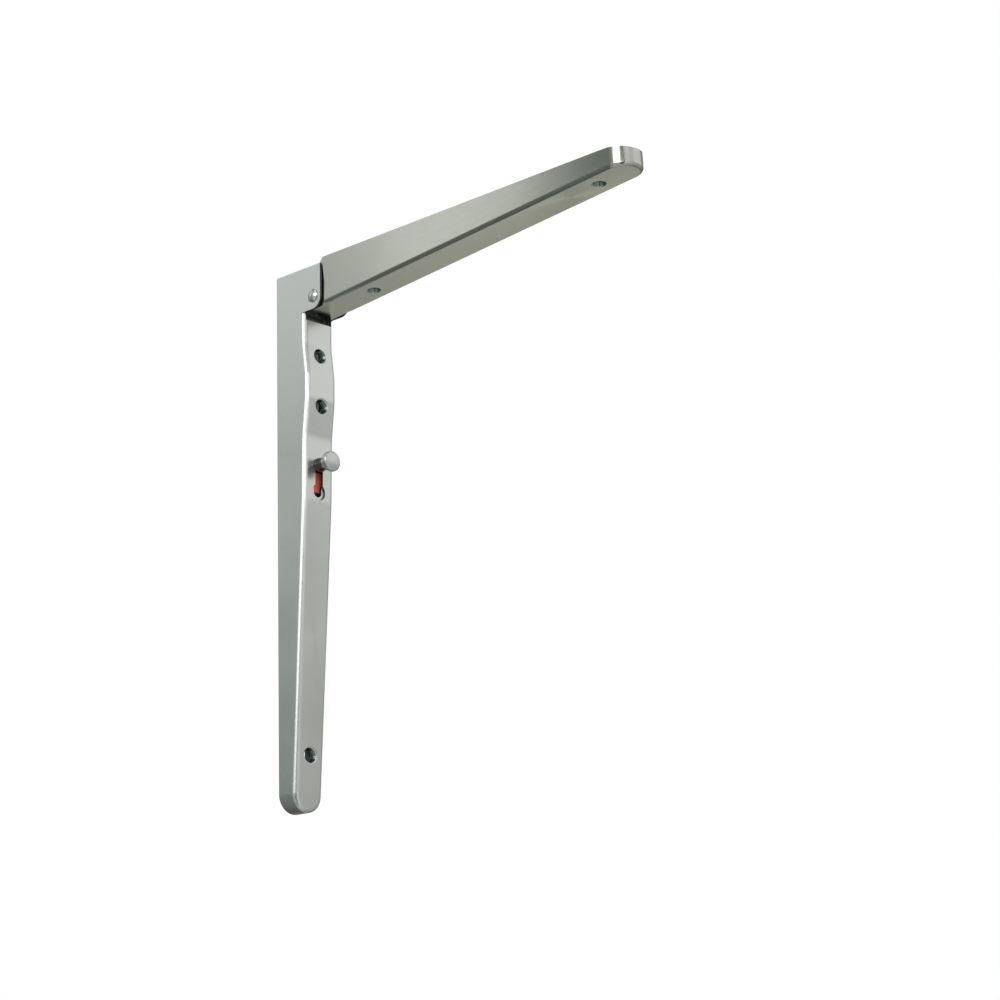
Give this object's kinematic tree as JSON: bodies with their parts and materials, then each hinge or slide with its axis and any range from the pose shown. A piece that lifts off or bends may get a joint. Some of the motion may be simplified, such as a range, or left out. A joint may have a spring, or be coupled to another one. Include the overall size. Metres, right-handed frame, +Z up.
{
  "type": "folding shelf bracket",
  "caption": "Folding shelf bracket of satin stainless steel: tapered pressed arm hinged on a wall leg, with a sliding lock knob and a red indicator.",
  "frame": {"origin": "top of the leg, midway between its flanges, in the plane of the wall", "axes": "+X away from the wall along the arm, +Y across the bracket, +Z up"},
  "size_m": [0.2999, 0.0288, 0.3434],
  "materials": {
    "satin_stainless": "satin ground stainless sheet",
    "bright_steel": "polished rivet and knob",
    "plain_steel": "plain rolled steel inside the lock",
    "spring_steel": "oiled spring wire and clip",
    "indicator_red": "moulded, slightly glossy"
  },
  "bodies": {
    "leg": {"leg": "satin_stainless", "pivot_rivet": "bright_steel", "pivot_washer_near": "plain_steel", "pivot_washer_far": "plain_steel", "slider_rail_near": "plain_steel", "slider_rail_far": "plain_steel"},
    "arm": {"arm": "satin_stainless", "pivot_spacer": "plain_steel"},
    "slider": {"lock_slider": "plain_steel", "lock_block": "plain_steel", "lock_indicator": "indicator_red", "block_rivet_near": "bright_steel", "block_rivet_far": "bright_steel", "knob_spring": "spring_steel"},
    "knob": {"knob_stem": "bright_steel", "knob_collar": "bright_steel", "knob_head": "bright_steel", "knob_spring_washer": "plain_steel", "knob_clip": "spring_steel"}
  },
  "joints": [
    {"name": "arm_fold", "type": "hinge", "parent": "leg", "child": "arm", "pos_m": [0.0335, 0, -0.02], "axis": [0, 1, 0], "range_deg": [0, 86]},
    {"name": "lock_slide", "type": "slide", "parent": "leg", "child": "slider", "axis": [0, 0, -1], "range_m": [0, 0.017]},
    {"name": "knob_pull", "type": "slide", "parent": "slider", "child": "knob", "axis": [1, 0, 0], "range_m": [0, 0.0015], "stiffness_N_per_m": 600, "deforming": ["knob_spring"]}
  ]
}
